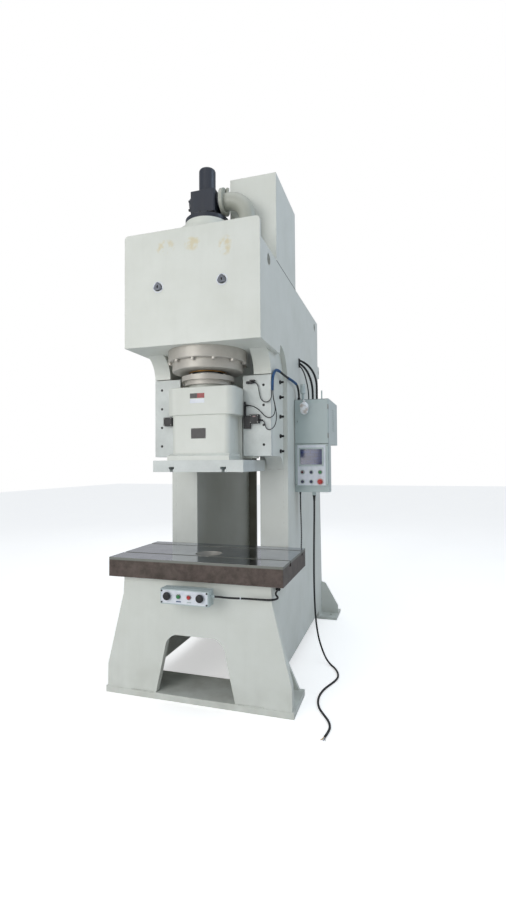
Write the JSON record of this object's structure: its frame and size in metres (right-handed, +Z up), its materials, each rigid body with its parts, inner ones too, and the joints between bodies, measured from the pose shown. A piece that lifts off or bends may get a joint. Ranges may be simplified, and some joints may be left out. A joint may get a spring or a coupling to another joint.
{
  "type": "hydraulic stamping press",
  "caption": "Open-front hydraulic stamping press with a plate frame, guided slide, slotted bolster, top tank and a side cabinet",
  "frame": {"origin": "centre of the die hole at the working surface of the bolster", "axes": "+Z up, +Y from the open front towards the back of the machine, +X towards the cabinet"},
  "size_m": [1.4879, 2.356, 3.52],
  "materials": {
    "frame_paint": "satin warm grey-white paint with light wear on edges",
    "machine_steel": "ground and oiled steel",
    "hard_chrome": "polished hard chrome",
    "bearing_bronze": "turned bearing bronze",
    "casting_grey": "dark painted casting",
    "valve_paint": "dark blue-grey enamel",
    "pipe_paint": "pale olive-grey paint",
    "motor_paint": "dark grey enamel",
    "fastener_steel": "zinc-plated steel",
    "cabinet_paint": "pale grey-green powder coat",
    "sensor_black": "moulded black plastic",
    "button_black": "moulded black plastic",
    "button_red": "glossy red plastic",
    "button_green": "glossy green plastic",
    "cable_jacket": "black cable jacket"
  },
  "bodies": {
    "press_frame": {"side_plate_left": "frame_paint", "side_plate_right": "frame_paint", "column_left": "frame_paint", "column_right": "frame_paint", "guide_bracket_left": "frame_paint", "guide_bracket_right": "frame_paint", "guide_plate_left": "frame_paint", "guide_plate_right": "frame_paint", "rear_plate": "frame_paint", "head_cover": "frame_paint", "head_bottom": "frame_paint", "head_top": "frame_paint", "base_front": "frame_paint", "front_foot": "frame_paint", "rear_foot": "frame_paint", "table_plate": "frame_paint", "bolster": "machine_steel", "bolster_bolts": "fastener_steel", "clamp_ring": "machine_steel", "ring_bolts": "fastener_steel", "gland_ring": "machine_steel", "gland_bush": "bearing_bronze", "cylinder_barrel": "machine_steel", "cylinder_cap": "frame_paint", "guide_screws": "fastener_steel", "rear_gibs": "machine_steel", "gib_liners": "bearing_bronze", "limit_switches": "sensor_black", "valve_body": "valve_paint", "valve_cap": "valve_paint", "valve_screws": "fastener_steel", "suction_elbow": "pipe_paint", "oil_tank": "frame_paint", "pump_motor": "motor_paint", "pump": "casting_grey", "cabinet_shell": "cabinet_paint", "operator_panel": "cabinet_paint", "control_box": "cabinet_paint", "cabinet_conduits": "cable_jacket", "sensor_cables": "cable_jacket", "box_cable": "cable_jacket", "supply_cable": "cable_jacket"},
    "press_slide": {"slide_body": "frame_paint", "slide_plate": "machine_steel", "ram": "hard_chrome", "ram_flange": "machine_steel"},
    "prefill_poppet_body": {"prefill_poppet": "machine_steel"},
    "pump_shaft_body": {"pump_shaft": "machine_steel"},
    "cabinet_door_body": {"cabinet_door": "cabinet_paint"},
    "head_lock_left_body": {"head_lock_left": "hard_chrome"},
    "head_lock_right_body": {"head_lock_right": "hard_chrome"},
    "palm_button_left_body": {"palm_button_left": "button_black"},
    "palm_button_right_body": {"palm_button_right": "button_black"},
    "start_button_body": {"start_button": "button_green"},
    "stop_button_body": {"stop_button": "button_red"},
    "ready_button_body": {"ready_button": "button_green"},
    "mode_selector_body": {"mode_selector": "button_black"},
    "stroke_selector_body": {"stroke_selector": "button_black"},
    "light_selector_body": {"light_selector": "button_black"},
    "emergency_stop_body": {"emergency_stop": "button_red"}
  },
  "joints": [
    {"name": "slide_travel", "type": "slide", "parent": "press_frame", "child": "press_slide", "axis": [0, 0, -1], "range_m": [0, 0.25]},
    {"name": "poppet_lift", "type": "slide", "parent": "press_frame", "child": "prefill_poppet_body", "axis": [0, 0, -1], "range_m": [0, 0.02], "stiffness_N_per_m": 2500, "springref_m": -0.02},
    {"name": "pump_spin", "type": "hinge", "parent": "press_frame", "child": "pump_shaft_body", "pos_m": [0, 0.9, 1.567], "axis": [0, 1, 0], "continuous": true},
    {"name": "door_swing", "type": "hinge", "parent": "press_frame", "child": "cabinet_door_body", "pos_m": [0.721, 0.61, 0.92], "axis": [0, 0, 1], "range_deg": [0, 110]},
    {"name": "lock_turn_left", "type": "hinge", "parent": "press_frame", "child": "head_lock_left_body", "pos_m": [-0.218, -0.3, 1.735], "axis": [0, 1, 0], "range_deg": [0, 90]},
    {"name": "lock_turn_right", "type": "hinge", "parent": "press_frame", "child": "head_lock_right_body", "pos_m": [0.218, -0.3, 1.735], "axis": [0, 1, 0], "range_deg": [0, 90]},
    {"name": "palm_press_left", "type": "slide", "parent": "press_frame", "child": "palm_button_left_body", "axis": [0, 1, 0], "range_m": [0, 0.004], "stiffness_N_per_m": 500, "springref_m": -0.001},
    {"name": "palm_press_right", "type": "slide", "parent": "press_frame", "child": "palm_button_right_body", "axis": [0, 1, 0], "range_m": [0, 0.004], "stiffness_N_per_m": 500, "springref_m": -0.001},
    {"name": "start_press", "type": "slide", "parent": "press_frame", "child": "start_button_body", "axis": [0, 1, 0], "range_m": [0, 0.004], "stiffness_N_per_m": 500, "springref_m": -0.001},
    {"name": "stop_press", "type": "slide", "parent": "press_frame", "child": "stop_button_body", "axis": [0, 1, 0], "range_m": [0, 0.004], "stiffness_N_per_m": 500, "springref_m": -0.001},
    {"name": "ready_press", "type": "slide", "parent": "press_frame", "child": "ready_button_body", "axis": [0, 1, 0], "range_m": [0, 0.004], "stiffness_N_per_m": 500, "springref_m": -0.001},
    {"name": "emergency_press", "type": "slide", "parent": "press_frame", "child": "emergency_stop_body", "axis": [0, 1, 0], "range_m": [0, 0.004]},
    {"name": "mode_turn", "type": "hinge", "parent": "press_frame", "child": "mode_selector_body", "pos_m": [0.591, 0.606, 0.536], "axis": [0, 1, 0], "range_deg": [-45, 45]},
    {"name": "stroke_turn", "type": "hinge", "parent": "press_frame", "child": "stroke_selector_body", "pos_m": [0.524, 0.606, 0.464], "axis": [0, 1, 0], "range_deg": [-45, 45]},
    {"name": "light_turn", "type": "hinge", "parent": "press_frame", "child": "light_selector_body", "pos_m": [0.591, 0.606, 0.464], "axis": [0, 1, 0], "range_deg": [-45, 45]}
  ]
}
